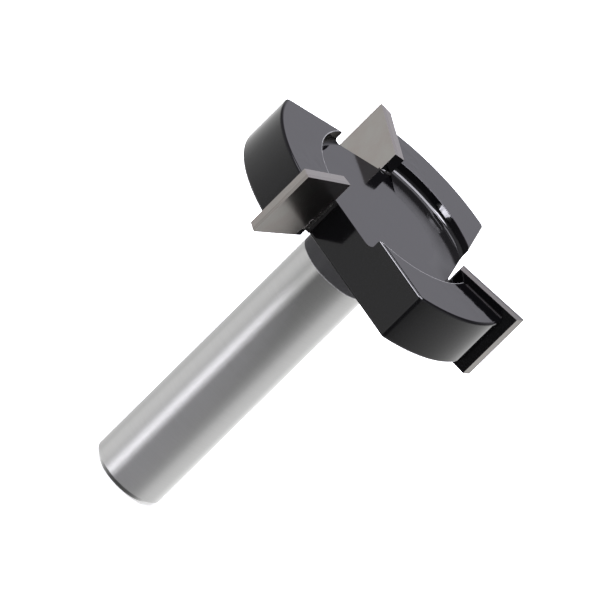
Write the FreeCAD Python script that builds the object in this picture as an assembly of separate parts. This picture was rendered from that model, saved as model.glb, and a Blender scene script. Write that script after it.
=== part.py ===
import FreeCAD, Part

import math
import os

# Three-wing surfacing cutter with brazed carbide tips.
# Millimetres and degrees. The origin is the centre of the shank's end face, and +Z runs along the
# axis to the cutting face. Seen from the face the cutter turns counter-clockwise.
# The first tip's cutting corner lies on the +X side.

# Whole tool
CUTTING_DIAMETER = 50.8
OVERALL_LENGTH = 63.5
WING_COUNT = 3

# Shank, ground to a collet size
SHANK_DIAMETER = 12.7
SHANK_END_CHAMFER = 1.0

# Head, a disc behind and inside the circle that the tips cut
RIM_SETBACK = 2.1
FACE_SETBACK = 1.6
HEAD_THICKNESS = 8.9
NECK_FILLET = 1.0
HEEL_ROUND = 0.8
EDGE_ROUND = 0.45

# Round recess in the cutting face
RECESS_DIAMETER = 30.2
RECESS_DEPTH = 2.2
RECESS_FILLET = 0.8
LIP_ROUND = 0.1

# Carbide tips
TIP_WIDTH = 12.3
TIP_HEIGHT = 12.3
TIP_THICKNESS = 1.9
HOOK_ANGLE = 4.3
FRONT_DISH = 1.6
REAR_DISH = 2.8

# Clearance of the tips, small on a narrow land beside the cutting edges and larger behind it
LAND_WIDTH = 0.6
LAND_RADIAL_CLEARANCE = 16.0
LAND_AXIAL_CLEARANCE = 1.5
RADIAL_CLEARANCE = 24.6
AXIAL_CLEARANCE = 3.7

# Braze
BRAZE_FILM = 0.15
FOOT_BEAD = 0.7
EDGE_BEAD = 0.2

# Derived radii and heights
shank_radius = SHANK_DIAMETER / 2
cutting_radius = CUTTING_DIAMETER / 2
rim_radius = cutting_radius - RIM_SETBACK
recess_radius = RECESS_DIAMETER / 2
face_z = OVERALL_LENGTH - FACE_SETBACK
rear_z = face_z - HEAD_THICKNESS
floor_z = face_z - RECESS_DEPTH

# The tip and its seat are drawn square to the axes, x outwards along the tip and y the way the rake
# face looks, and are then turned by the hook angle, so that the outer end leads.
hook = math.radians(HOOK_ANGLE)
corner_x = cutting_radius * math.cos(hook)
rake_y = -cutting_radius * math.sin(hook)
back_y = rake_y - TIP_THICKNESS
inner_x = corner_x - TIP_WIDTH
flat_x = inner_x - BRAZE_FILM
seat_y = back_y - BRAZE_FILM
land_y = rake_y - LAND_WIDTH
wing_pitch = 360.0 / WING_COUNT

ORIGIN = FreeCAD.Vector(0, 0, 0)
UP = FreeCAD.Vector(0, 0, 1)
TOLERANCE = 0.001


def half_plane(radius, height):
    """A point of a turned profile, from its radius and its height."""
    return FreeCAD.Vector(radius, 0, height)


def line(start, end):
    return Part.LineSegment(start, end).toShape()


def rounded(start, centre, end, radius):
    """The quarter arc from start to end about centre."""
    towards = (start + end) * 0.5 - centre
    middle = centre + towards.normalize() * radius
    return Part.Arc(start, middle, end).toShape()


def turned(edges):
    """The solid that a closed profile sweeps round the axis."""
    return Part.Face(Part.Wire(edges)).revolve(ORIGIN, UP, 360)


def upright(outline, bottom, top):
    """A prism on a closed outline of (x, y) corners, between two heights."""
    corners = [FreeCAD.Vector(x, y, bottom) for x, y in outline]
    base = Part.Face(Part.makePolygon(corners + corners[:1]))
    return base.extrude(UP * (top - bottom))


def on_wing(shape, wing):
    """A copy of a squarely drawn shape, turned by the hook angle and on to its wing."""
    placed = shape.copy()
    placed.rotate(ORIGIN, UP, HOOK_ANGLE + wing * wing_pitch)
    return placed


def turned_blank():
    """Shank, neck fillet and plain disc head as they leave the lathe."""
    end_ring = half_plane(shank_radius - SHANK_END_CHAMFER, 0)
    shank_start = half_plane(shank_radius, SHANK_END_CHAMFER)
    neck_start = half_plane(shank_radius, rear_z - NECK_FILLET)
    neck_centre = half_plane(shank_radius + NECK_FILLET, rear_z - NECK_FILLET)
    neck_end = half_plane(shank_radius + NECK_FILLET, rear_z)
    rim_rear = half_plane(rim_radius, rear_z)
    rim_front = half_plane(rim_radius, face_z)
    face_centre = half_plane(0, face_z)
    return turned([
        line(ORIGIN, end_ring),
        line(end_ring, shank_start),
        line(shank_start, neck_start),
        rounded(neck_start, neck_centre, neck_end, NECK_FILLET),
        line(neck_end, rim_rear),
        line(rim_rear, rim_front),
        line(rim_front, face_centre),
        line(face_centre, ORIGIN),
    ])


def recess():
    """The space of the round recess, with its floor fillet and its rounded lip."""
    above = face_z + LIP_ROUND
    floor_centre = half_plane(0, floor_z)
    floor_end = half_plane(recess_radius - RECESS_FILLET, floor_z)
    fillet_centre = half_plane(recess_radius - RECESS_FILLET, floor_z + RECESS_FILLET)
    wall_start = half_plane(recess_radius, floor_z + RECESS_FILLET)
    wall_end = half_plane(recess_radius, face_z - LIP_ROUND)
    lip_centre = half_plane(recess_radius + LIP_ROUND, face_z - LIP_ROUND)
    lip_end = half_plane(recess_radius + LIP_ROUND, face_z)
    lip_above = half_plane(recess_radius + LIP_ROUND, above)
    top_centre = half_plane(0, above)
    return turned([
        line(floor_centre, floor_end),
        rounded(floor_end, fillet_centre, wall_start, RECESS_FILLET),
        line(wall_start, wall_end),
        rounded(wall_end, lip_centre, lip_end, LIP_ROUND),
        line(lip_end, lip_above),
        line(lip_above, top_centre),
        line(top_centre, floor_centre),
    ])


def notch():
    """One L-shaped cut: the seat wall behind a tip and the flat that is both its ledge and the gullet."""
    far = 2 * cutting_radius
    outline = [(flat_x, seat_y), (far, seat_y), (far, far), (flat_x, far)]
    return upright(outline, rear_z - EDGE_ROUND, face_z + EDGE_ROUND)


def is_on_seat(point):
    """True for a point of the seat wall of any wing."""
    for wing in range(WING_COUNT):
        back = FreeCAD.Rotation(UP, -HOOK_ANGLE - wing * wing_pitch).multVec(point)
        if abs(back.y - seat_y) < TOLERANCE and back.x > 0:
            return True
    return False


def ends_and_middle(edge):
    """The heights of an edge's two ends, and its middle point."""
    heights = sorted(vertex.Point.z for vertex in edge.Vertexes)
    return heights[0], heights[-1], edge.valueAt((edge.FirstParameter + edge.LastParameter) / 2)


def is_heel_edge(edge):
    """True for the upright edges where a flat runs out through the rim."""
    low, high, middle = ends_and_middle(edge)
    at_rim = abs(math.hypot(middle.x, middle.y) - rim_radius) < TOLERANCE
    return at_rim and abs(high - low - HEAD_THICKNESS) < TOLERANCE and not is_on_seat(middle)


def is_outline_edge(edge):
    """True for the edges of the face and the rear that follow the rim, the heels and the flats."""
    low, high, middle = ends_and_middle(edge)
    level = high - low < TOLERANCE and min(abs(low - face_z), abs(low - rear_z)) < TOLERANCE
    return level and math.hypot(middle.x, middle.y) > flat_x - TOLERANCE and not is_on_seat(middle)


def cutter_body():
    """Shank and head in one piece, with a notch for each tip and a recess in the face."""
    body = turned_blank()
    for wing in range(WING_COUNT):
        body = body.cut(on_wing(notch(), wing))
    body = body.makeFillet(HEEL_ROUND, [edge for edge in body.Edges if is_heel_edge(edge)])
    body = body.makeFillet(EDGE_ROUND, [edge for edge in body.Edges if is_outline_edge(edge)])
    return body.cut(recess())


def skin_between(lower, upper):
    """The flat-sided solid between two outlines of points, both counter-clockwise from above."""
    def flat_face(points):
        return Part.Face(Part.makePolygon(points + points[:1]))

    sides = [flat_face(upper), flat_face(lower[::-1])]
    for here in range(len(lower)):
        beyond = (here + 1) % len(lower)
        sides.append(flat_face([lower[here], lower[beyond], upper[beyond], upper[here]]))
    return Part.makeSolid(Part.Shell(sides))


def ground_back(y, land_angle, angle):
    """How far a flank has fallen back at y, behind the rake face, over the land and past it."""
    on_land = min(rake_y - y, LAND_WIDTH) * math.tan(math.radians(land_angle))
    past_land = max(land_y - y, 0) * math.tan(math.radians(angle))
    return on_land + past_land


def tip_slab(start_y, end_y):
    """The slab of a tip between two planes along its rake face, ground back on all but its inner end."""
    front_slope = math.tan(math.radians(FRONT_DISH))
    rear_slope = math.tan(math.radians(REAR_DISH))

    def outer(y):
        return corner_x - ground_back(y, LAND_RADIAL_CLEARANCE + HOOK_ANGLE, RADIAL_CLEARANCE + HOOK_ANGLE)

    def front(x, y):
        fallen = ground_back(y, LAND_AXIAL_CLEARANCE, AXIAL_CLEARANCE)
        return FreeCAD.Vector(x, y, OVERALL_LENGTH - (corner_x - x) * front_slope - fallen)

    def rear(x, y):
        return FreeCAD.Vector(x, y, OVERALL_LENGTH - TIP_HEIGHT + (corner_x - x) * rear_slope)

    corners = [(inner_x, start_y), (outer(start_y), start_y), (outer(end_y), end_y), (inner_x, end_y)]
    return skin_between([rear(x, y) for x, y in corners], [front(x, y) for x, y in corners])


def carbide_tip():
    """A rectangular plate: the slab with the land in front, and the slab with more clearance behind it."""
    return tip_slab(back_y, land_y).fuse(tip_slab(land_y, rake_y)).removeSplitter()


def hollow_corner(corner, first, second, size):
    """The face between a square corner and a hollow quarter arc of the given size."""
    one = corner + first * size
    other = corner + second * size
    arc = rounded(one, corner + (first + second) * size, other, size)
    return Part.Face(Part.Wire([line(corner, one), arc, line(other, corner)]))


def bead_along_back(height, outwards, start_x, end_x):
    """A bead between a tip's back and the head's flat surface at the given height."""
    corner = FreeCAD.Vector(start_x, back_y, height)
    section = hollow_corner(corner, outwards, FreeCAD.Vector(0, -1, 0), EDGE_BEAD)
    return section.extrude(FreeCAD.Vector(end_x - start_x, 0, 0))


def bead_along_end(start_y, end_y):
    """A bead between a tip's inner end and the rear of the head."""
    corner = FreeCAD.Vector(inner_x, start_y, rear_z)
    section = hollow_corner(corner, -UP, FreeCAD.Vector(-1, 0, 0), EDGE_BEAD)
    return section.extrude(FreeCAD.Vector(0, end_y - start_y, 0))


def braze_seam():
    """The film under and behind a tip, the bead in front of its foot, and the beads round its edges."""
    seat_end_x = math.sqrt(rim_radius ** 2 - seat_y ** 2) - EDGE_ROUND
    film = upright([(flat_x, seat_y), (seat_end_x, seat_y), (seat_end_x, back_y), (inner_x, back_y),
                    (inner_x, rake_y), (flat_x, rake_y)], rear_z, face_z)
    foot_corner = FreeCAD.Vector(flat_x, rake_y, rear_z)
    foot_section = hollow_corner(foot_corner, FreeCAD.Vector(1, 0, 0), FreeCAD.Vector(0, 1, 0), FOOT_BEAD)
    foot = foot_section.extrude(UP * HEAD_THICKNESS)
    front = bead_along_back(face_z, UP, recess_radius + LIP_ROUND, seat_end_x)
    rear = bead_along_back(rear_z, -UP, inner_x, seat_end_x)
    end = bead_along_end(back_y, rake_y)
    corner = bead_along_back(rear_z, -UP, inner_x - EDGE_BEAD, inner_x).common(
        bead_along_end(back_y - EDGE_BEAD, back_y))
    return film.fuse([foot, rear, end, corner]).cut(recess()).fuse(front).removeSplitter()


def write(shape, name):
    shape.exportStep(os.path.join("parts", name + ".step"))


def main():
    os.makedirs("parts", exist_ok=True)
    write(cutter_body(), "cutter_body")
    for wing in range(WING_COUNT):
        write(on_wing(carbide_tip(), wing), f"carbide_tip_{wing + 1}")
        write(on_wing(braze_seam(), wing), f"braze_seam_{wing + 1}")


main()
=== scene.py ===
# %% [markdown]
# A surfacing router bit, dressed for its portrait.
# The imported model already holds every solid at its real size: a steel body with a ground shank and a
# coated head, three carbide tips, and the braze that holds them. This lesson gives each surface its
# finish, adds the lumps and runs that braze and coat leave, and lights the bit as a product studio would.

import math

import bmesh
import bpy
from mathutils import Matrix, Vector


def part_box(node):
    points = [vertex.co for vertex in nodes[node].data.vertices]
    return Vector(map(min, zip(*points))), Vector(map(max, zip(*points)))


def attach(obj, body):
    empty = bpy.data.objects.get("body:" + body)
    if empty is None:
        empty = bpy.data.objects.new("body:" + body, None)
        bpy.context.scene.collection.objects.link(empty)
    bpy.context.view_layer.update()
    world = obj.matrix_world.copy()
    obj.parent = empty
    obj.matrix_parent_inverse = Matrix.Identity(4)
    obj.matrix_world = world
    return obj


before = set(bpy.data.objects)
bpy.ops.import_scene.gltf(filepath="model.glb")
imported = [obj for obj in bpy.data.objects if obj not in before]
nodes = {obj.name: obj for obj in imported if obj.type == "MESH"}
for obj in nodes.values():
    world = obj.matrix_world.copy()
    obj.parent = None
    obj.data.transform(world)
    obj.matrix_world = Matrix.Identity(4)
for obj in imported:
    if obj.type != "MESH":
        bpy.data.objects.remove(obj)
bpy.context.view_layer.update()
print("nodes:", sorted(nodes))

# %% [markdown]
# Lengths are in metres. The axis is Z, the shank's end stands on Z = 0 and the cutting face looks up.
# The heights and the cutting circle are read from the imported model, and the rest are the real sizes that
# the model was built with. On each wing, "along" is outwards beside the tip, and "ahead" is the way that
# the tip cuts.

# %% Sizes that the finishes need
MM = 0.001
WINGS = 3
PITCH = 2 * math.pi / WINGS
HOOK = math.radians(4.3)
HEAD_THICKNESS = 8.9 * MM
RECESS_DEPTH = 2.2 * MM
TIP_WIDTH = 12.3 * MM
TIP_THICKNESS = 1.9 * MM
BRAZE_FILM = 0.15 * MM
recess_radius = 15.1 * MM

face_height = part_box("cutter_body")[1].z
head_rear = face_height - HEAD_THICKNESS
recess_floor = face_height - RECESS_DEPTH
tip_low, tip_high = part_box("carbide_tip_1")
cutting_radius = tip_high.x
rake_ahead = -cutting_radius * math.sin(HOOK)
back_ahead = rake_ahead - TIP_THICKNESS
tip_inner = cutting_radius * math.cos(HOOK) - TIP_WIDTH
flat_along = tip_inner - BRAZE_FILM
print("face at", round(face_height / MM, 2), "mm, tips from", round(tip_low.z / MM, 2),
      "to", round(tip_high.z / MM, 2), "mm, cutting radius", round(cutting_radius / MM, 2), "mm")


# %% [markdown]
# A material in Blender is a tree of nodes. It could be drawn by hand, but in a script every value can be
# read and changed. These helpers keep the trees short. Each takes sockets by name or by number, and gives
# a socket either a value or a link to another node's output.

# %% Helpers for nodes and numbers
def fill(tree, node, sockets):
    """Gives the named sockets of a node their values or their links."""
    for name, value in sockets.items():
        if isinstance(value, bpy.types.NodeSocket):
            tree.links.new(value, node.inputs[name])
        else:
            node.inputs[name].default_value = value
    return node


def add_node(tree, kind, sockets=None, **settings):
    made = tree.nodes.new(kind)
    for name, value in settings.items():
        setattr(made, name, value)
    return fill(tree, made, sockets or {})


def maths(tree, operation, first, second=0.0):
    return add_node(tree, "ShaderNodeMath", {0: first, 1: second}, operation=operation).outputs[0]


def product(tree, first, *others):
    for other in others:
        first = maths(tree, "MULTIPLY", first, other)
    return first


def above(tree, value, limit):
    return maths(tree, "GREATER_THAN", value, limit)


def below(tree, value, limit):
    return maths(tree, "LESS_THAN", value, limit)


def opposite(tree, mask):
    return maths(tree, "SUBTRACT", 1.0, mask)


def distance_from(tree, value, centre):
    return maths(tree, "ABSOLUTE", maths(tree, "SUBTRACT", value, centre))


def level(tree, value, low, high, to_low=0.0, to_high=1.0):
    """A straight slope from to_low at low to to_high at high, held at both ends."""
    sockets = {"Value": value, "From Min": low, "From Max": high, "To Min": to_low, "To Max": to_high}
    return add_node(tree, "ShaderNodeMapRange", sockets).outputs[0]


# %% Helpers that mix
def mix_value(tree, share, first, second):
    return add_node(tree, "ShaderNodeMix", {"Factor": share, 2: first, 3: second}).outputs[0]


def mix_vector(tree, share, first, second):
    sockets = {"Factor": share, 4: first, 5: second}
    return add_node(tree, "ShaderNodeMix", sockets, data_type="VECTOR").outputs[1]


def mix_colour(tree, share, first, second, blend="MIX"):
    sockets = {"Factor": share, 6: first, 7: second}
    return add_node(tree, "ShaderNodeMix", sockets, data_type="RGBA", blend_type=blend).outputs[2]


# %% Helpers for vectors, tones and noise
def split(tree, vector):
    return add_node(tree, "ShaderNodeSeparateXYZ", {0: vector}).outputs


def join(tree, **parts):
    """A vector from its X, Y and Z, of which any may be left out."""
    return add_node(tree, "ShaderNodeCombineXYZ", parts).outputs[0]


def vector_maths(tree, operation, sockets, output="Vector"):
    return add_node(tree, "ShaderNodeVectorMath", sockets, operation=operation).outputs[output]


def tone_colour(tree, tone, blue):
    return add_node(tree, "ShaderNodeCombineColor", {"Red": tone, "Green": tone, "Blue": blue}).outputs[0]


def noise(tree, place, scale, detail, roughness=0.5):
    sockets = {"Vector": place, "Scale": scale, "Detail": detail, "Roughness": roughness}
    return add_node(tree, "ShaderNodeTexNoise", sockets).outputs["Fac"]


def object_place(tree):
    return add_node(tree, "ShaderNodeTexCoord").outputs["Object"]


# %% Helpers for groups
def start_group(name, inputs, outputs):
    """A shader node group. Inputs map a name to a socket type and a value, and outputs to a type."""
    group = bpy.data.node_groups.new(name, "ShaderNodeTree")
    for label, (kind, value) in inputs.items():
        group.interface.new_socket(label, in_out="INPUT", socket_type=kind).default_value = value
    for label, kind in outputs.items():
        group.interface.new_socket(label, in_out="OUTPUT", socket_type=kind)
    group.nodes.new("NodeGroupInput")
    group.nodes.new("NodeGroupOutput")
    return group


def given(group, name):
    return group.nodes["Group Input"].outputs[name]


def give(group, values):
    fill(group, group.nodes["Group Output"], values)
    print("group:", group.name, "with", len(group.nodes), "nodes")


def use_group(tree, group, sockets=None):
    return add_node(tree, "ShaderNodeGroup", sockets, node_tree=group).outputs


# %% [markdown]
# The three wings are alike, so their finishes are too. Each could have a material of its own, but then
# every change would be made three times. This group turns any point of the bit back on to the first wing
# and gives its place there: how far along, how far ahead, and its height. It gives the same three numbers
# for the way that the surface looks. One material can then tell a tip's ground flank from its coated back
# on every wing.

# %% Group: the place on a wing
def wing_group():
    group = start_group(
        "Place on a wing", {},
        {"Along": "NodeSocketFloat", "Ahead": "NodeSocketFloat", "Height": "NodeSocketFloat",
         "Radius": "NodeSocketFloat", "Looks along": "NodeSocketFloat", "Looks ahead": "NodeSocketFloat",
         "Looks up": "NodeSocketFloat", "Along axis": "NodeSocketVector"})
    place = add_node(group, "ShaderNodeTexCoord").outputs
    point = split(group, place["Object"])
    looks = split(group, place["Normal"])
    radius = vector_maths(group, "LENGTH", {0: join(group, X=point["X"], Y=point["Y"])}, "Value")
    angle = maths(group, "ARCTAN2", point["Y"], point["X"])
    wrap = {0: maths(group, "SUBTRACT", angle, HOOK), 1: PITCH / 2, 2: -PITCH / 2}
    folded = add_node(group, "ShaderNodeMath", wrap, operation="WRAP").outputs[0]
    turn = maths(group, "SUBTRACT", angle, folded)
    cosine = maths(group, "COSINE", turn)
    sine = maths(group, "SINE", turn)
    along_x, along_y = product(group, looks["X"], cosine), product(group, looks["Y"], sine)
    ahead_x, ahead_y = product(group, looks["X"], sine), product(group, looks["Y"], cosine)
    give(group, {
        "Along": product(group, radius, maths(group, "COSINE", folded)),
        "Ahead": product(group, radius, maths(group, "SINE", folded)),
        "Height": point["Z"],
        "Radius": radius,
        "Looks along": maths(group, "ADD", along_x, along_y),
        "Looks ahead": maths(group, "SUBTRACT", ahead_y, ahead_x),
        "Looks up": looks["Z"],
        "Along axis": join(group, X=cosine, Y=sine),
    })
    return group


on_wing = wing_group()


# %% [markdown]
# A grinding wheel leaves fine parallel scratches. A picture of scratches would blur close up and needs a
# flat map of the piece. Noise needs neither: it is squeezed across the scratches and stretched along
# them. The group turns any place and any stretch into one height.

# %% Group: grind marks
def grind_group():
    group = start_group(
        "Grind marks",
        {"Vector": ("NodeSocketVector", (0, 0, 0)), "Stretch": ("NodeSocketVector", (1, 1, 1)),
         "Scale": ("NodeSocketFloat", 1.0)},
        {"Height": "NodeSocketFloat"})
    stretched = vector_maths(group, "MULTIPLY", {0: given(group, "Vector"), 1: given(group, "Stretch")})
    give(group, {"Height": noise(group, stretched, given(group, "Scale"), detail=4.0, roughness=0.6)})
    return group


grind = grind_group()


# %% [markdown]
# A sprayed and baked coat is never quite flat. It has a faint orange peel and a slow swell, and here and
# there a speck of dust under it. All of this is far smaller than a face of the mesh, so it is a bump and
# not geometry. The group gives its height, and one patchy value that varies the gloss.

# %% Group: coat skin
PEEL_HEIGHT = 0.18
SWELL_HEIGHT = 12.0
DUST_HEIGHT = 1.2
SPECK_RADIUS = 0.07


def coat_skin_group():
    group = start_group("Coat skin", {"Peel size": ("NodeSocketFloat", 700.0)},
                        {"Height": "NodeSocketFloat", "Patches": "NodeSocketFloat"})
    place = object_place(group)
    peel = noise(group, place, given(group, "Peel size"), detail=1.0)
    swell = noise(group, place, 160.0, detail=1.0)
    cells = add_node(group, "ShaderNodeTexVoronoi", {"Vector": place, "Scale": 420.0}).outputs
    dust = level(group, cells["Distance"], 0.0, SPECK_RADIUS, 1.0, 0.0)
    height = maths(group, "ADD", product(group, peel, PEEL_HEIGHT), product(group, swell, SWELL_HEIGHT))
    height = maths(group, "ADD", height, product(group, dust, DUST_HEIGHT))
    give(group, {"Height": height, "Patches": noise(group, place, 230.0, detail=5.0, roughness=0.65)})
    return group


coat_skin = coat_skin_group()


# %% [markdown]
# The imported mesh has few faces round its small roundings, and a mirror finish shows that. More faces
# would mean another mesh, but the true normal follows from the place alone. Round the rim, in the recess
# and along the flats, the height on a rounding says how far the surface looks up. The rest of the normal
# points straight out from the axis, straight in, or square out of the flat. The shank and the neck keep
# how far the mesh normal looks up. Each mask reaches a little past its rounding.

# %% Masks: where the roundings are
EDGE_ROUND = 0.45 * MM
RECESS_FILLET = 0.8 * MM
LIP_ROUND = 0.1 * MM
HEEL_ROUND = 0.8 * MM
SHANK_REACH = 7.5 * MM
SIDEWAYS = 0.05
rim_radius = 23.3 * MM
notch_along, notch_ahead = flat_along - 0.4 * MM, back_ahead - 0.25 * MM
rim_start = rim_radius - EDGE_ROUND - 0.3 * MM
wall_middle, wall_reach = recess_radius - 0.35 * MM, 0.8 * MM
heel_start = math.sqrt((rim_radius - HEEL_ROUND) ** 2 - (flat_along - HEEL_ROUND) ** 2)


def rounding_masks(group, wing):
    """Masks for the rim, the recess's wall, the flats and the shank."""
    radius, along, ahead, outwards = wing["Radius"], wing["Along"], wing["Ahead"], wing["Looks along"]
    in_notch = product(group, above(group, along, notch_along), above(group, ahead, notch_ahead))
    near_wall = below(group, distance_from(group, radius, wall_middle), wall_reach)
    over_floor = above(group, wing["Height"], recess_floor - 0.01 * MM)
    at_flat = product(group, above(group, along, flat_along - EDGE_ROUND), above(group, outwards, 0.02))
    before_heel = product(group, above(group, ahead, 0.0), below(group, ahead, heel_start))
    return {
        "rim": product(group, above(group, radius, rim_start), opposite(group, in_notch)),
        "recess": product(group, near_wall, over_floor, below(group, outwards, SIDEWAYS)),
        "flat": product(group, at_flat, before_heel),
        "shank": below(group, radius, SHANK_REACH),
    }


# %% Group: true normal of the roundings
def looks_up_by_height(group, height, in_recess):
    """How far a rounding looks up: outside at the head's edges, inside at the recess's lip and fillet."""
    outer_up = maths(group, "SUBTRACT", level(group, height, face_height - EDGE_ROUND, face_height),
                     level(group, height, head_rear + EDGE_ROUND, head_rear))
    recess_up = maths(group, "MAXIMUM", level(group, height, recess_floor + RECESS_FILLET, recess_floor),
                      level(group, height, face_height - LIP_ROUND, face_height))
    return mix_value(group, in_recess, outer_up, recess_up)


def true_normal_group():
    group = start_group("True normal", {}, {"Normal": "NodeSocketVector"})
    wing = use_group(group, on_wing)
    near = rounding_masks(group, wing)
    point = split(group, object_place(group))
    outward = vector_maths(group, "NORMALIZE", {0: join(group, X=point["X"], Y=point["Y"])})

    up = looks_up_by_height(group, wing["Height"], near["recess"])
    up = mix_value(group, near["shank"], up, wing["Looks up"])
    rest_squared = maths(group, "SUBTRACT", 1.0, product(group, up, up))
    rest = maths(group, "SQRT", maths(group, "MAXIMUM", rest_squared, 0.0))
    rest = product(group, rest, mix_value(group, near["recess"], 1.0, -1.0))
    across = mix_vector(group, near["flat"], outward, wing["Along axis"])
    level_part = vector_maths(group, "SCALE", {0: across, "Scale": rest})
    true_normal = vector_maths(group, "ADD", {0: level_part, 1: join(group, Z=up)})

    on_head = maths(group, "MAXIMUM", near["rim"], near["recess"])
    known = maths(group, "MAXIMUM", on_head, maths(group, "MAXIMUM", near["flat"], near["shank"]))
    mesh_normal = add_node(group, "ShaderNodeNewGeometry").outputs["Normal"]
    give(group, {"Normal": mix_vector(group, known, mesh_normal, true_normal)})
    return group


true_normal = true_normal_group()


# %% [markdown]
# The shank is ground while it turns, so its scratches run round it, and its gloss is stretched along the
# axis. Scratches fine enough to do that would need a huge mesh. The shader's anisotropy does it instead,
# with a tangent that runs round the axis. The marks only vary the tone and the roughness a little: fine
# ones from the wheel, and broad bands from its passes.

# %% Finish: ground steel
NOISE_RANGE = (0.2, 0.8)
STEEL_TONES = (0.68, 0.76)
STEEL_ROUGHNESS = (0.28, 0.32)
CHAMFER_PAINTED_SHADE = 0.72


def ground_steel(tree, place, wing):
    """Colour, roughness and height of the ground shank. Its end chamfer is turned, and painted darker as
    painted shade.
    """
    marks = use_group(tree, grind, {"Vector": place, "Stretch": (0.04, 0.04, 1.0), "Scale": 9000.0})["Height"]
    bands = use_group(tree, grind, {"Vector": place, "Stretch": (0.01, 0.01, 1.0), "Scale": 900.0})["Height"]
    both = maths(tree, "ADD", product(tree, marks, 0.6), product(tree, bands, 0.4))
    # The end chamfer's colour is painted darker, as painted shade.
    at_chamfer = below(tree, wing["Looks up"], -0.2)
    chamfer_painted_shade = mix_value(tree, at_chamfer, 1.0, CHAMFER_PAINTED_SHADE)
    tone = product(tree, level(tree, both, *NOISE_RANGE, *STEEL_TONES), chamfer_painted_shade)
    colour = tone_colour(tree, tone, product(tree, tone, 0.99))
    return colour, level(tree, both, *NOISE_RANGE, *STEEL_ROUGHNESS), product(tree, marks, 0.15)


# %% [markdown]
# The head and the first millimetres of the neck carry a glossy black coat. Its lower edge is a mask on the
# height, a little wavy, as spray leaves it. On two wings, patches along the lip of the recess show bare steel
# instead of coat, as a painted highlight line on the lip. The wall below that lip shines less, and so does
# the neck, which spray reaches at a slant. Painted masks could say all this, but numbers worked out from the
# place stay sharp at any distance.

# %% Masks: where the coat is, where the lip shows a painted highlight, and where it is dull
COAT_EDGE_HEIGHT = 48.0 * MM
NEAR_SIDE = 7.5 * MM
EDGE_WAVE = 0.25 * MM
LIP_HIGHLIGHT_SHARES = (0.1, 0.26)


def coat_mask(tree, place, wing):
    wave = product(tree, noise(tree, place, 400.0, detail=2.0), EDGE_WAVE)
    height = maths(tree, "ADD", wing["Height"], wave)
    return level(tree, height, COAT_EDGE_HEIGHT, COAT_EDGE_HEIGHT + 0.15 * MM)


def painted_lip_highlight(tree, wing, patches, on_near_side):
    # Patches of bare steel along the lip, as a painted highlight line.
    off_lip = distance_from(tree, wing["Radius"], recess_radius + LIP_ROUND)
    near_lip = level(tree, off_lip, 0.1 * MM, 0.03 * MM)
    at_face = level(tree, wing["Height"], face_height - 0.2 * MM, face_height - 0.05 * MM)
    return product(tree, near_lip, at_face, level(tree, patches, 0.35, 0.55, *LIP_HIGHLIGHT_SHARES), on_near_side)


def recess_wall(tree, wing, on_near_side):
    past_fillet = level(tree, wing["Radius"], recess_radius - 0.9 * MM, recess_radius - 0.6 * MM)
    inside_lip = below(tree, wing["Radius"], recess_radius + 0.03 * MM)
    upright = below(tree, wing["Looks up"], 0.6)
    outside_notch = below(tree, wing["Looks along"], SIDEWAYS)
    over_floor = above(tree, wing["Height"], recess_floor)
    return product(tree, past_fillet, inside_lip, upright, outside_notch, over_floor, on_near_side)


def neck(tree, wing):
    return product(tree, below(tree, wing["Radius"], SHANK_REACH + 0.1 * MM),
                   below(tree, wing["Height"], head_rear + 0.5 * MM))


# %% [markdown]
# Under the coat the face still shows how it was turned. Lathe rings run round it, deeper on the floor of
# the recess, and just behind each tip the coat is wavy. Rings could be cut into the mesh, but they are
# finer than its faces. Here a ring is noise that changes with the radius alone.

# %% Height: lathe rings and waves under the coat
WAVE_HEIGHT = 50.0
RING_HEIGHT = 1.2
FLOOR_RING_HEIGHT = 3.5


def coat_height(tree, place, wing, skin):
    behind_tip = maths(tree, "SUBTRACT", back_ahead, wing["Ahead"])
    fading = level(tree, behind_tip, 7.5 * MM, 3.5 * MM)
    starting = level(tree, behind_tip, -0.1 * MM, 0.2 * MM)
    near_tip = product(tree, fading, starting, above(tree, wing["Radius"], recess_radius))
    waves = product(tree, noise(tree, place, 420.0, detail=2.5, roughness=0.55), near_tip, WAVE_HEIGHT)
    rings = use_group(tree, grind, {"Vector": join(tree, X=wing["Radius"]), "Scale": 2000.0})["Height"]
    on_floor = below(tree, wing["Height"], recess_floor + 0.05 * MM)
    rings = product(tree, rings, mix_value(tree, on_floor, RING_HEIGHT, FLOOR_RING_HEIGHT))
    facing_up = above(tree, wing["Looks up"], 0.99)
    return maths(tree, "ADD", skin["Height"], product(tree, facing_up, maths(tree, "ADD", waves, rings)))


# %% [markdown]
# The body is one piece of steel with two finishes. Two materials would need a cut in the mesh where the
# coat ends, so one material holds both, and the masks switch between them. The coat's gloss is the clear
# coat layer of the shader, because that layer stays even while the gloss of the steel below is stretched.
# The shader's sockets are filled at the end, all in one place.

# %% Material: coated head and ground shank
COAT_BLACK = (0.001, 0.001, 0.0012, 1)
NECK_BLACK = (0.034, 0.034, 0.034, 1)
WALL_SHINE, NECK_SHINE = 0.55, 0.3


def new_material(name):
    """A fresh material, its node tree and its shader."""
    made = bpy.data.materials.new(name)
    made.use_nodes = True
    return made, made.node_tree, made.node_tree.nodes["Principled BSDF"]


def bump(tree, height, distance, **sockets):
    sockets.update({"Height": height, "Distance": distance, "Strength": 1.0})
    return add_node(tree, "ShaderNodeBump", sockets).outputs[0]


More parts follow.
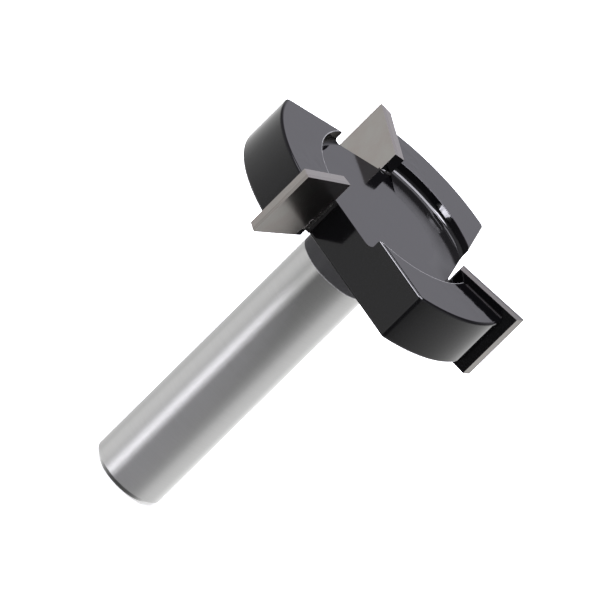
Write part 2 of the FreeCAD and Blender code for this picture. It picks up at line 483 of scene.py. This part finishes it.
def body_material():
    made, tree, shader = new_material("coated_steel")
    place = object_place(tree)
    wing = use_group(tree, on_wing)
    skin = use_group(tree, coat_skin)
    on_near_side = below(tree, split(tree, place)["Y"], NEAR_SIDE)

    coat = coat_mask(tree, place, wing)
    covered = product(tree, coat, opposite(tree, painted_lip_highlight(tree, wing, skin["Patches"], on_near_side)))
    bare = opposite(tree, covered)
    on_neck = neck(tree, wing)
    on_wall = recess_wall(tree, wing, on_near_side)
    shine = mix_value(tree, on_neck, mix_value(tree, on_wall, 1.0, WALL_SHINE), NECK_SHINE)
    steel_colour, steel_roughness, steel_height = ground_steel(tree, place, wing)
    coat_colour = mix_colour(tree, on_neck, COAT_BLACK, NECK_BLACK)
    height = mix_value(tree, coat, steel_height, coat_height(tree, place, wing, skin))
    surface = bump(tree, height, 0.0009 * MM, Normal=use_group(tree, true_normal)["Normal"])
    fill(tree, shader, {
        "Base Color": mix_colour(tree, bare, coat_colour, steel_colour),
        "Metallic": bare,
        "Roughness": mix_value(tree, coat, steel_roughness, 0.5),
        "Specular IOR Level": 0.0,
        "Anisotropic": 0.9,
        "Anisotropic Rotation": 0.25,
        "Tangent": add_node(tree, "ShaderNodeTangent", direction_type="RADIAL", axis="Z").outputs[0],
        "Normal": surface,
        "Coat Weight": product(tree, opposite(tree, bare), shine),
        "Coat Roughness": 0.08,
        "Coat IOR": 1.5,
        "Coat Normal": surface,
    })
    return made


def dress(piece, material):
    piece.data.materials.clear()
    piece.data.materials.append(material)
    print(piece.name, "wears", material.name)


dress(nodes["cutter_body"], body_material())


# %% [markdown]
# A carbide tip is ground bright where it cuts: on the rake face and on its outer, front and rear flanks.
# The head was coated after brazing and the tips were ground last. So the back and the inner end still
# carry the coat, and a ragged fringe of it reaches over the foot of the rake face. The way that the
# surface looks tells the faces apart, so the tips need no maps.

# %% Mask: the coat left on a tip
def tip_coat(tree, place, wing):
    back = below(tree, wing["Looks ahead"], -0.8)
    inner_end = below(tree, wing["Looks along"], -0.8)
    ragged = level(tree, noise(tree, place, 700.0, detail=4.0), 0.3, 0.7, 0.2 * MM, 2.4 * MM)
    reach = product(tree, level(tree, wing["Height"], recess_floor, tip_low.z), ragged)
    from_foot = maths(tree, "SUBTRACT", wing["Along"], tip_inner)
    fringe = level(tree, maths(tree, "SUBTRACT", from_foot, reach), 0.12 * MM, -0.12 * MM)
    return maths(tree, "MAXIMUM", maths(tree, "MAXIMUM", back, inner_end), fringe)


# %% [markdown]
# Beside each cutting edge a narrow land was polished finer. Its colour is painted darker as painted shade,
# with a thin darker line of painted shade between it and the rest of the flank. Each tip was ground by
# itself, and the tones are also set per tip, and on the third tip by which way a flank looks, as painted
# light and shade. Three materials could say so, but one is enough: the axis of the wing tells it which tip
# it is on, and shifts the tone.

# %% Tone of the ground carbide, with painted light and shade
LAND_WIDTH = 0.6 * MM
LINE_HALF, LINE_FADE = 0.03 * MM, 0.1 * MM
PATCH_RANGE = (0.35, 0.65)
FLANK_TONES = (0.35, 0.42)
WARM_TINT = (1.0, 0.91, 0.86, 1)
COOL_TINT = (0.96, 0.93, 0.88, 1)


def flank_tone_with_painted_shade(tree, wing, marks, on_land, behind_edge, first_wing, third_wing):
    tone = level(tree, marks, *NOISE_RANGE, *FLANK_TONES)
    at_end = above(tree, wing["Looks up"], 0.8)
    # The land is painted darker, most on the first tip, as painted shade.
    land_painted_shade = mix_value(tree, on_land, 0.97, mix_value(tree, first_wing, 0.86, 0.5))
    # Tones by tip, and on the third tip by which way the flank looks, as painted light and shade.
    tip_painted_light_and_shade = mix_value(tree, third_wing, 0.88, mix_value(tree, at_end, 1.22, 0.78))
    # A thin darker line behind the land, as painted shade.
    from_line = distance_from(tree, behind_edge, LAND_WIDTH)
    line_painted_shade = level(tree, from_line, LINE_HALF, LINE_FADE, mix_value(tree, first_wing, 0.85, 0.55), 1.0)
    return product(tree, tone, land_painted_shade, tip_painted_light_and_shade, line_painted_shade)


def carbide_colour(tree, tone, patches):
    tint = mix_colour(tree, level(tree, patches, *PATCH_RANGE), WARM_TINT, COOL_TINT)
    return mix_colour(tree, 1.0, tint, tone_colour(tree, tone, tone), blend="MULTIPLY")


# %% Material: carbide tips
RAKE_TONES = (0.45, 0.51)
FLANK_ROUGHNESS = (0.2, 0.27)
LAND_POLISH, RAKE_DULLNESS = -0.06, 0.04


def carbide_material():
    made, tree, shader = new_material("ground_carbide")
    place = object_place(tree)
    wing = use_group(tree, on_wing)
    skin = use_group(tree, coat_skin, {"Peel size": 1200.0})
    axis = split(tree, wing["Along axis"])
    first_wing = above(tree, axis["X"], 0.0)
    third_wing = below(tree, axis["Y"], -0.3)
    coat = tip_coat(tree, place, wing)
    rake = above(tree, wing["Looks ahead"], 0.8)
    behind_edge = maths(tree, "SUBTRACT", rake_ahead, wing["Ahead"])
    before_line = level(tree, behind_edge, LAND_WIDTH + LINE_HALF, LAND_WIDTH - LINE_HALF)
    on_land = product(tree, before_line, opposite(tree, rake))

    marks = use_group(tree, grind, {"Vector": place, "Stretch": (1.0, 1.0, 0.06), "Scale": 7000.0})["Height"]
    tone = flank_tone_with_painted_shade(tree, wing, marks, on_land, behind_edge, first_wing, third_wing)
    rake_tone = level(tree, skin["Patches"], 0.3, 0.7, *RAKE_TONES)
    # The rake of the tip on the third wing is painted darker, as painted shade.
    rake_tone = product(tree, rake_tone, mix_value(tree, third_wing, 1.0, 0.62))
    bare_colour = carbide_colour(tree, mix_value(tree, rake, tone, rake_tone), skin["Patches"])
    ground = level(tree, mix_value(tree, rake, marks, 0.5), *NOISE_RANGE, *FLANK_ROUGHNESS)
    polish = mix_value(tree, rake, product(tree, on_land, LAND_POLISH), RAKE_DULLNESS)
    bare_height = product(tree, marks, mix_value(tree, rake, 0.3, 0.1))
    height = mix_value(tree, coat, bare_height, product(tree, skin["Height"], 0.3))
    surface = bump(tree, height, 0.002 * MM)
    fill(tree, shader, {
        "Base Color": mix_colour(tree, coat, bare_colour, COAT_BLACK),
        "Metallic": opposite(tree, coat),
        "Roughness": mix_value(tree, coat, maths(tree, "ADD", ground, polish), 0.5),
        "Specular IOR Level": 0.0,
        "Normal": surface,
        "Coat Weight": coat,
        "Coat Roughness": 0.1,
        "Coat IOR": 1.5,
        "Coat Normal": surface,
    })
    return made


carbide = carbide_material()
for wing in range(WINGS):
    dress(nodes[f"carbide_tip_{wing + 1}"], carbide)


# %% [markdown]
# Braze runs out of the joint as it melts and freezes in small lumps, and the coat over it makes them
# shine. The seam itself was wiped while it was hot, and is duller than the lumps. Both are the coat's own
# black with a livelier skin, so one function makes both, and the shine tells them apart.

# %% Material: braze under the coat
BRAZE_BLACK = (0.012, 0.011, 0.01, 1)


def braze_material(name, shine):
    made, tree, shader = new_material(name)
    skin = use_group(tree, coat_skin, {"Peel size": 2200.0})
    gloss = level(tree, skin["Patches"], 0.3, 0.7, 0.08, 0.2)
    fill(tree, shader, {
        "Base Color": mix_colour(tree, skin["Patches"], COAT_BLACK, BRAZE_BLACK),
        "Roughness": maths(tree, "ADD", gloss, 0.5 - shine),
        "Specular IOR Level": shine,
        "Normal": bump(tree, skin["Height"], 0.01 * MM),
    })
    return made


seam = braze_material("wiped_braze", 0.1)
braze = braze_material("coated_braze", 0.5)
for wing in range(WINGS):
    dress(nodes[f"braze_seam_{wing + 1}"], seam)


# %% [markdown]
# The lumps themselves are geometry, because they break the outline of the joint. They could be sculpted,
# but nine runs of braze would take long. Instead their paths are drawn once, as edges on the first wing:
# round the tip's foot in the recess and up its wall, up the corner in front of the foot, and along the
# rear.

# %% Paths of the braze beads on the first wing
SEAT_END = 22.6 * MM
floor_level = recess_floor + 0.05 * MM
front = rake_ahead - 0.1 * MM
wall_foot, wall_side, wall_top = recess_radius - 0.9 * MM, recess_radius - 0.1 * MM, recess_radius + 0.2 * MM
bead_paths = [
    [(tip_inner, front, floor_level), (tip_inner, back_ahead, floor_level),
     (wall_foot, back_ahead, floor_level), (wall_side, back_ahead, floor_level + RECESS_FILLET),
     (wall_top, back_ahead, face_height - LIP_ROUND)],
    [(tip_inner, rake_ahead, floor_level - 0.3 * MM), (tip_inner, rake_ahead, head_rear + 0.2 * MM)],
    [(tip_inner, front, head_rear), (tip_inner, back_ahead, head_rear), (SEAT_END, back_ahead, head_rear)],
]


def put_in_scene(name, data):
    made = bpy.data.objects.new(name, data)
    bpy.context.scene.collection.objects.link(made)
    return made


def bead_lines():
    mesh = bpy.data.meshes.new("braze_beads")
    points, edges = [], []
    for path in bead_paths:
        first = len(points)
        points += [Matrix.Rotation(HOOK, 3, "Z") @ Vector(point) for point in path]
        edges += [(first + step, first + step + 1) for step in range(len(path) - 1)]
    mesh.from_pydata(points, edges, [])
    print("bead paths:", len(bead_paths), "with", len(points), "points")
    return put_in_scene("braze_beads", mesh)


# %% [markdown]
# A Geometry Nodes tree makes the lumps. It copies the paths to every wing, sweeps a round section along
# them that is thinner at the ends, and pushes the surface in and out with noise. The noise depends on the
# place, so no two wings are alike. The sizes are named inputs, so a heavier bead is one number away.

# %% Geometry Nodes: beads along the paths, on every wing
BEAD_SIZES = {"Radius": 0.34 * MM, "Lump depth": 0.3 * MM, "Lump size": 1500.0, "Spacing": 0.18 * MM}
ROUND_POINTS = 14


def paths_on_wings(tree, entry):
    """The drawn paths as curves, copied round the axis."""
    curve = add_node(tree, "GeometryNodeMeshToCurve", {"Mesh": entry["Geometry"]}).outputs[0]
    spaced = {"Curve": curve, "Length": entry["Spacing"]}
    curve = add_node(tree, "GeometryNodeResampleCurve", spaced, mode="LENGTH").outputs[0]
    same_place = {"Count": entry["Wings"], "Offset": (0, 0, 0)}
    spots = add_node(tree, "GeometryNodeMeshLine", same_place, mode="OFFSET")
    step = add_node(tree, "GeometryNodeInputIndex").outputs[0]
    turns = join(tree, Z=product(tree, step, PITCH))
    placed = {"Points": spots.outputs[0], "Instance": curve, "Rotation": turns}
    copies = add_node(tree, "GeometryNodeInstanceOnPoints", placed).outputs[0]
    return add_node(tree, "GeometryNodeRealizeInstances", {0: copies}).outputs[0]


def bead_thickness(tree, place):
    """A share of the full radius: slim at the ends of a path, and slowly changing along it."""
    share = add_node(tree, "GeometryNodeSplineParameter").outputs["Factor"]
    near_end = maths(tree, "MINIMUM", share, opposite(tree, share))
    slim = maths(tree, "MINIMUM", maths(tree, "ADD", product(tree, near_end, 8.0), 0.35), 1.0)
    swell = maths(tree, "ADD", product(tree, noise(tree, place, 420.0, detail=1.0), 1.1), 0.45)
    return product(tree, slim, swell)


def bead_tree(material):
    tree = bpy.data.node_groups.new("Braze beads", "GeometryNodeTree")
    tree.interface.new_socket("Geometry", in_out="INPUT", socket_type="NodeSocketGeometry")
    for label, value in BEAD_SIZES.items():
        tree.interface.new_socket(label, in_out="INPUT", socket_type="NodeSocketFloat").default_value = value
    tree.interface.new_socket("Wings", in_out="INPUT", socket_type="NodeSocketInt").default_value = WINGS
    tree.interface.new_socket("Geometry", in_out="OUTPUT", socket_type="NodeSocketGeometry")
    entry = tree.nodes.new("NodeGroupInput").outputs
    leave = tree.nodes.new("NodeGroupOutput")

    place = add_node(tree, "GeometryNodeInputPosition").outputs[0]
    section = {"Resolution": ROUND_POINTS, "Radius": entry["Radius"]}
    ring = add_node(tree, "GeometryNodeCurvePrimitiveCircle", section)
    tube = add_node(tree, "GeometryNodeCurveToMesh", {
        "Curve": paths_on_wings(tree, entry), "Profile Curve": ring.outputs[0],
        "Scale": bead_thickness(tree, place), "Fill Caps": True}).outputs[0]
    lumps = noise(tree, place, entry["Lump size"], detail=2.0)
    push = product(tree, maths(tree, "SUBTRACT", lumps, 0.5), entry["Lump depth"])
    normal = add_node(tree, "GeometryNodeInputNormal").outputs[0]
    offset = vector_maths(tree, "SCALE", {0: normal, "Scale": push})
    shaped = add_node(tree, "GeometryNodeSetPosition", {"Geometry": tube, "Offset": offset}).outputs[0]
    smooth = add_node(tree, "GeometryNodeSetShadeSmooth", {"Geometry": shaped}).outputs[0]
    solid = add_node(tree, "GeometryNodeRealizeInstances", {0: smooth}).outputs[0]
    finished = add_node(tree, "GeometryNodeSetMaterial", {"Geometry": solid, "Material": material}).outputs[0]
    fill(tree, leave, {0: finished})
    return tree


# %% Piece: the braze beads
def grow(piece, tree):
    """Runs a Geometry Nodes tree on a piece and keeps the result as its plain mesh."""
    modifier = piece.modifiers.new(tree.name, "NODES")
    modifier.node_group = tree
    evaluated = piece.evaluated_get(bpy.context.evaluated_depsgraph_get())
    mesh = bpy.data.meshes.new_from_object(evaluated)
    piece.modifiers.clear()
    mesh.name = piece.name
    piece.data = mesh
    print(piece.name, "has", len(mesh.polygons), "faces")


beads = bead_lines()
grow(beads, bead_tree(braze))
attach(beads, "root")


# %% [markdown]
# On the far wing the wet coat moved before it was baked, and lies thicker than elsewhere. A bump can't show
# that, so two pieces of geometry follow. They share one kind of material, the coat's black with an even
# gloss, and differ only in how rough they are.

# %% Material: thick coat
POURED_BLACK = (0.004, 0.004, 0.004, 1)


def poured_material(name, least_roughness, most_roughness):
    made, tree, shader = new_material(name)
    skin = use_group(tree, coat_skin)
    fill(tree, shader, {
        "Base Color": POURED_BLACK,
        "Roughness": level(tree, skin["Patches"], *PATCH_RANGE, least_roughness, most_roughness),
        "Normal": bump(tree, skin["Height"], 0.0012 * MM),
    })
    return made


# %% [markdown]
# The run hangs as a thin sill under the lip of the recess, and its upper side leans towards the light. It
# could be sculpted, but a grid of points on the wall, moved inwards by a formula, is smooth and small.

# %% Piece: the run in the coat
RUN_COLUMNS, RUN_ROWS = 60, 26
RUN_THICKNESS = 0.5 * MM
RUN_EDGE = 0.82
run_start, run_end = math.radians(60.0), math.radians(75.5)
run_top, run_bottom = face_height - 0.06 * MM, face_height - 1.0 * MM
under_wall = recess_radius + 0.03 * MM


def soft_step(value):
    """0 up to 0, 1 from 1 on, and a smooth rise between them."""
    value = max(0.0, min(1.0, value))
    return value * value * (3 - 2 * value)


def run_swell(across):
    """How full the run is, from one end (0) to the other (1), with two slow ripples."""
    ripples = 0.92 + 0.03 * math.sin(9 * across) + 0.006 * math.sin(29 * across + 1)
    return soft_step(3.2 * min(across, 1 - across)) * ripples


def run_sill(down):
    """How far the run stands out, from the lip (0) to its lower end (1), with a softened edge."""
    sill = max(0.0, min(down / RUN_EDGE, (1 - down) / (1 - RUN_EDGE)))
    return sill - 0.25 * max(0.0, sill - 0.75) ** 2


def coat_run():
    points, faces = [], []
    for column in range(RUN_COLUMNS + 1):
        across = column / RUN_COLUMNS
        angle = run_start + (run_end - run_start) * across
        for row in range(RUN_ROWS + 1):
            down = row / RUN_ROWS
            radius = under_wall - RUN_THICKNESS * run_swell(across) * run_sill(down)
            height = run_top + (run_bottom - run_top) * down
            points.append((radius * math.cos(angle), radius * math.sin(angle), height))
    for column in range(RUN_COLUMNS):
        for row in range(RUN_ROWS):
            here = column * (RUN_ROWS + 1) + row
            faces.append((here, here + RUN_ROWS + 1, here + RUN_ROWS + 2, here + 1))
    mesh = bpy.data.meshes.new("coat_run")
    mesh.from_pydata(points, [], faces)
    mesh.shade_smooth()
    thickest = recess_radius - min(math.hypot(x, y) for x, y, z in points)
    print("coat run:", len(faces), "faces, at most", round(thickest / MM, 2), "mm thick")
    return put_in_scene("coat_run", mesh)


run = coat_run()
dress(run, poured_material("run_coat", 0.2, 0.34))
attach(run, "root")


# %% [markdown]
# The wet coat also ran together at the foot of that wall. The floor rises a little towards the wall there
# and meets it in a soft round. The piece is a skin over the floor: a profile, carried round the wing from
# the flat of one notch to the next tip. It starts flat and is full after half a radian. It is built with
# bmesh, because the notch cuts it off square: points past the flat are drawn back on to it, and a skirt
# closes the open end.

# %% Profile of the pooled coat
POOL_REACH = 6.0 * MM
POOL_SLOPE = math.tan(math.radians(4.9))
POOL_RISE = 2.3 * MM
POOL_ROUND = 0.75 * MM
FLOOR_STEPS, ROUND_STEPS = 29, 16


def pool_profile(full):
    """Radius and height from the flat floor to the wall, for a pool between none (0) and full (1)."""
    rows = []
    height, last = recess_floor + 0.005 * MM, POOL_REACH
    for step in range(FLOOR_STEPS + 1):
        away = POOL_REACH + (POOL_ROUND - POOL_REACH) * step / FLOOR_STEPS
        lift = min(1.0, (POOL_REACH - away) / POOL_RISE)
        height += (last - away) * POOL_SLOPE * full * lift
        last = away
        rows.append((recess_radius - away, height))
    radius = recess_radius - POOL_ROUND
    start = math.atan(POOL_SLOPE * full)
    for step in range(1, ROUND_STEPS + 1):
        lean = start + (math.pi / 2 - start) * step / ROUND_STEPS
        rows.append((radius + POOL_ROUND * (math.sin(lean) - math.sin(start)),
                     height + POOL_ROUND * (math.cos(start) - math.cos(lean))))
    return rows


# %% Skin of the pooled coat
POOL_COLUMNS = 150
POOL_FADE = 0.5
SMALL_GAP = 0.02 * MM
pool_begin = HOOK - 0.35
edge_along = flat_along - SMALL_GAP
from_first_wing = Matrix.Rotation(HOOK, 3, "Z")
to_first_wing = from_first_wing.transposed()


def pool_points(shape):
    """Columns of points round the wing, and the set of those that the notch has drawn back."""
    grid, drawn_back = [], set()
    seat_turn = HOOK + PITCH + math.asin(back_ahead / recess_radius)
    for column in range(POOL_COLUMNS + 1):
        share = column / POOL_COLUMNS
        full = soft_step((seat_turn - pool_begin) * share / POOL_FADE)
        line = []
        for radius, height in pool_profile(full):
            end = HOOK + PITCH + math.asin((back_ahead - SMALL_GAP) / radius)
            angle = pool_begin + (end - pool_begin) * share
            place = to_first_wing @ Vector((radius * math.cos(angle), radius * math.sin(angle), height))
            is_past_flat = place.x > edge_along
            place.x = min(place.x, edge_along)
            line.append(shape.verts.new(from_first_wing @ place))
            if is_past_flat:
                drawn_back.add(line[-1])
        grid.append(line)
    return grid, drawn_back


def add_skirt(shape, drawn_back):
    """Closes the open end at the notch with a band down into the floor, and counts its faces."""
    edges = [edge for edge in shape.edges if edge.is_boundary and drawn_back.issuperset(edge.verts)]
    for part in bmesh.ops.extrude_edge_only(shape, edges=edges)["geom"]:
        if isinstance(part, bmesh.types.BMVert):
            part.co.z = recess_floor - 0.01 * MM
    return len(edges)


def sharpen_at_flat(mesh):
    """Keeps the edge between the skin and its skirt crisp, and all other edges soft."""
    for edge in mesh.edges:
        ends = [mesh.vertices[index].co for index in edge.vertices]
        on_flat = all(abs((to_first_wing @ point).x - edge_along) < 1e-7 for point in ends)
        edge.use_edge_sharp = on_flat and max(point.z for point in ends) > recess_floor


# %% Piece: the pooled coat in the recess
def pooled_coat():
    shape = bmesh.new()
    grid, drawn_back = pool_points(shape)
    for left, right in zip(grid, grid[1:]):
        for low, high, far_low, far_high in zip(left, left[1:], right, right[1:]):
            corners = (low, high, far_high, far_low)
            if not drawn_back.issuperset(corners):
                shape.faces.new(corners)
    loose = [point for point in shape.verts if not point.link_faces]
    bmesh.ops.delete(shape, geom=loose, context="VERTS")
    skirt_faces = add_skirt(shape, drawn_back)
    mesh = bpy.data.meshes.new("pooled_coat")
    shape.to_mesh(mesh)
    shape.free()
    mesh.shade_smooth()
    sharpen_at_flat(mesh)
    highest = max(point.co.z for point in mesh.vertices) - recess_floor
    print("pooled coat:", len(mesh.polygons), "faces,", skirt_faces, "of them in the skirt, up to",
          round(highest / MM, 2), "mm above the floor")
    return put_in_scene("pooled_coat", mesh)


pool = pooled_coat()
dress(pool, poured_material("pooled_coat", 0.1, 0.16))
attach(pool, "root")


# %% [markdown]
# A product is photographed on a white sweep that is lit until it shows no edge. Here the stage is one
# large pale square that glows a little, which does the same with one face. It is kept out of mirror
# reflections, so that the coat and the shank reflect the room alone.

# %% Floor
FLOOR_REACH = 6.0
FLOOR_WHITE = (0.7, 0.7, 0.7, 1)
FLOOR_GLOW = 0.62


def floor():
    corners = [(-1, -1), (1, -1), (1, 1), (-1, 1)]
    mesh = bpy.data.meshes.new("floor")
    mesh.from_pydata([(x * FLOOR_REACH, y * FLOOR_REACH, 0) for x, y in corners], [], [(0, 1, 2, 3)])
    made = put_in_scene("floor", mesh)
    material, tree, shader = new_material("pale_floor")
    fill(tree, shader, {"Base Color": FLOOR_WHITE, "Roughness": 0.9,
                        "Emission Color": (1, 1, 1, 1), "Emission Strength": FLOOR_GLOW})
    dress(made, material)
    made.visible_glossy = False


floor()


# %% [markdown]
# Polished steel and black gloss show little but the room around them, so the room makes the look. It could
# be built from lamps and cards, but it is painted on the world instead, where nothing throws a shadow or
# stands in the picture. Compass angles start at the camera and are positive to its right when the bit
# stands upright. Four rings give the brightness by compass angle: below the horizon, round it, above it
# and overhead. They were set by comparing the tones of the shank and of the coat with the photo.

# %% Room: brightness by compass angle
TABLE_RING = ((-180, 1.48), (-120, 1.77), (-80, 1.18), (-50, 1.13), (-20, 0.52), (20, 0.72), (50, 0.95),
              (80, 1.18), (120, 1.1), (180, 1.48))
LOW_RING = ((-180, 1.25), (-155, 0.77), (-130, 0.58), (-105, 0.62), (-80, 0.6), (-60, 0.45), (-40, 0.87),
            (-20, 0.1), (20, 0.1), (40, 0.13), (60, 0.26), (75, 0.51), (92, 0.66), (112, 0.76), (135, 0.92),
            (155, 1.25), (180, 1.25))
HIGH_RING = ((-180, 0.93), (-145, 0.12), (-110, 0.45), (-80, 0.47), (-60, 0.34), (-35, 0.05), (-12, 0.2),
             (10, 0.18), (35, 0.22), (60, 0.46), (90, 0.55), (120, 0.14), (150, 0.35), (180, 0.93))
UPPER_RING = ((-180, 0.12), (-140, 0.26), (-100, 0.27), (-60, 0.2), (-20, 0.15), (20, 0.24), (60, 0.42),
              (100, 0.28), (140, 0.1), (180, 0.12))


def ring_light(tree, turn, stops):
    ramp = add_node(tree, "ShaderNodeValToRGB", {"Fac": turn})
    element = ramp.color_ramp.elements
    while len(element) < len(stops):
        element.new(0.5)
    brightest = max(shade for degrees, shade in stops)
    for spot, (degrees, shade) in zip(element, stops):
        spot.position = (degrees + 180) / 360
        spot.color = (shade / brightest, shade / brightest, shade / brightest, 1)
    return product(tree, ramp.outputs["Color"], brightest)


def fade_in(tree, height, start, end):
    sockets = {"Value": height, "From Min": start, "From Max": end}
    return add_node(tree, "ShaderNodeMapRange", sockets, interpolation_type="SMOOTHSTEP").outputs[0]


def ring_room(tree, turn, height):
    """The four rings, blended by height, and dark straight beneath."""
    table, low = ring_light(tree, turn, TABLE_RING), ring_light(tree, turn, LOW_RING)
    high, upper = ring_light(tree, turn, HIGH_RING), ring_light(tree, turn, UPPER_RING)
    sky = mix_value(tree, fade_in(tree, height, 0.42, 0.62), high, upper)
    sides = mix_value(tree, fade_in(tree, height, -0.15, 0.1), low, sky)
    around = mix_value(tree, fade_in(tree, height, -0.62, -0.45), table, sides)
    return product(tree, around, maths(tree, "MAXIMUM", level(tree, height, -0.85, -0.65), 0.05))


# %% [markdown]
# Three soft boxes stand in the room. The tall one at the left makes the white streak on the shank, and the
# wide one overhead makes the bright lines on rounded edges. A weak one at the back left adds a little light
# of its own. A real one is a lamp behind white cloth. Here it is a bright window in the painted room: a
# direction is inside when it is within half the width and half the height of the window's centre.

# %% Room: soft boxes
BOX_SOFTNESS = 0.08
SOFT_BOXES = [
    {"compass": -49, "height": 42, "half_width": 8.5, "half_height": 14, "strength": 24.0},
    {"compass": 0, "height": 80, "half_width": 24, "half_height": 24, "strength": 11.0},
    {"compass": -120, "height": 56, "half_width": 13, "half_height": 8, "strength": 2.8},
]


def direction(compass, height):
    """A unit vector; compass 0 is towards the camera and 90 to its right."""
    turn, tilt = math.radians(compass), math.radians(height)
    return Vector((math.sin(turn) * math.cos(tilt), -math.cos(turn) * math.cos(tilt), math.sin(tilt)))


def softbox(tree, way, compass, height, half_width, half_height, strength):
    centre = direction(compass, height)
    across = Vector((0, 0, 1)).cross(centre).normalized()
    upwards = centre.cross(across)

    def share(axis):
        return vector_maths(tree, "DOT_PRODUCT", {0: way, 1: axis}, "Value")

    ahead = maths(tree, "MAXIMUM", share(centre), 0.001)
    lit = strength
    for axis, half in ((across, half_width), (upwards, half_height)):
        off = maths(tree, "ABSOLUTE", maths(tree, "DIVIDE", share(axis), ahead))
        edge = math.tan(math.radians(half))
        lit = product(tree, level(tree, off, edge * (1 + BOX_SOFTNESS), edge * (1 - BOX_SOFTNESS)), lit)
    return lit


# %% [markdown]
# The boxes are dimmer for diffuse light, so that the shadows stay faint, and the camera itself sees plain
# white. Above the table the light is a little cool, as daylight is.

# %% Room: the world
WHITE = (1, 1, 1, 1)
COOL_WHITE = (0.975, 0.96, 1.06, 1)
BOX_SHARE_IN_SHADE = 0.3


def room():
    world = bpy.data.worlds.new("room")
    bpy.context.scene.world = world
    world.use_nodes = True
    tree = world.node_tree
    way = add_node(tree, "ShaderNodeTexCoord").outputs["Generated"]
    parts = split(tree, way)
    angle = maths(tree, "ARCTAN2", parts["X"], product(tree, parts["Y"], -1.0))
    around = ring_room(tree, level(tree, angle, -math.pi, math.pi), parts["Z"])
    boxes = 0.0
    for box in SOFT_BOXES:
        boxes = maths(tree, "MAXIMUM", boxes, softbox(tree, way, **box))
    ray = add_node(tree, "ShaderNodeLightPath").outputs
    boxes = product(tree, boxes, mix_value(tree, ray["Is Diffuse Ray"], 1.0, BOX_SHARE_IN_SHADE))
    cool = mix_colour(tree, fade_in(tree, parts["Z"], 0.0, 0.3), WHITE, COOL_WHITE)
    fill(tree, tree.nodes["Background"], {
        "Color": mix_colour(tree, ray["Is Camera Ray"], cool, WHITE),
        "Strength": mix_value(tree, ray["Is Camera Ray"], maths(tree, "ADD", around, boxes), 1.0),
    })
    print("room:", len(tree.nodes), "nodes and", len(SOFT_BOXES), "soft boxes")


room()


# %% [markdown]
# In the photo the three wings have nearly one scale, so it was taken from far away with a long lens. A
# camera without perspective would come close, but this one stands at more than two metres instead, as a
# real one does. It looks down on the face by the tilt, and it is rolled, so that the shank runs from the
# lower left. The standard view transform keeps white as white.

# %% Camera at the photograph's angle
TILT = math.radians(21.2)
ROLL = math.radians(44.62)
TURN = math.radians(-0.6)
DISTANCE = 2.27
SENSOR_WIDTH = 36
IMAGE_SIDE = 612
PIXELS_PER_METRE = 6.66 / MM
AIM_RIGHT_OF_CENTRE, AIM_ABOVE_CENTRE = 61.2, 68.8
aim = Vector((0, 0, 55 * MM))


def camera():
    back = Vector((math.sin(TURN) * math.cos(TILT), -math.cos(TURN) * math.cos(TILT), math.sin(TILT)))
    side = Vector((math.cos(TURN), math.sin(TURN), 0))
    rise = back.cross(side)
    right = math.cos(ROLL) * rise + math.sin(ROLL) * side
    up = math.sin(ROLL) * rise - math.cos(ROLL) * side
    centre = aim - (right * AIM_RIGHT_OF_CENTRE + up * AIM_ABOVE_CENTRE) / PIXELS_PER_METRE
    data = bpy.data.cameras.new("camera")
    data.sensor_width = SENSOR_WIDTH
    data.lens = SENSOR_WIDTH * DISTANCE * PIXELS_PER_METRE / IMAGE_SIDE
    data.clip_start, data.clip_end = 0.1, 100
    made = put_in_scene("camera", data)
    turned = Matrix((right, up, back)).transposed().to_4x4()
    made.matrix_world = Matrix.Translation(centre + back * DISTANCE) @ turned
    bpy.context.scene.camera = made
    print("lens", round(data.lens), "mm")


camera()
bpy.context.scene.view_settings.view_transform = "Standard"
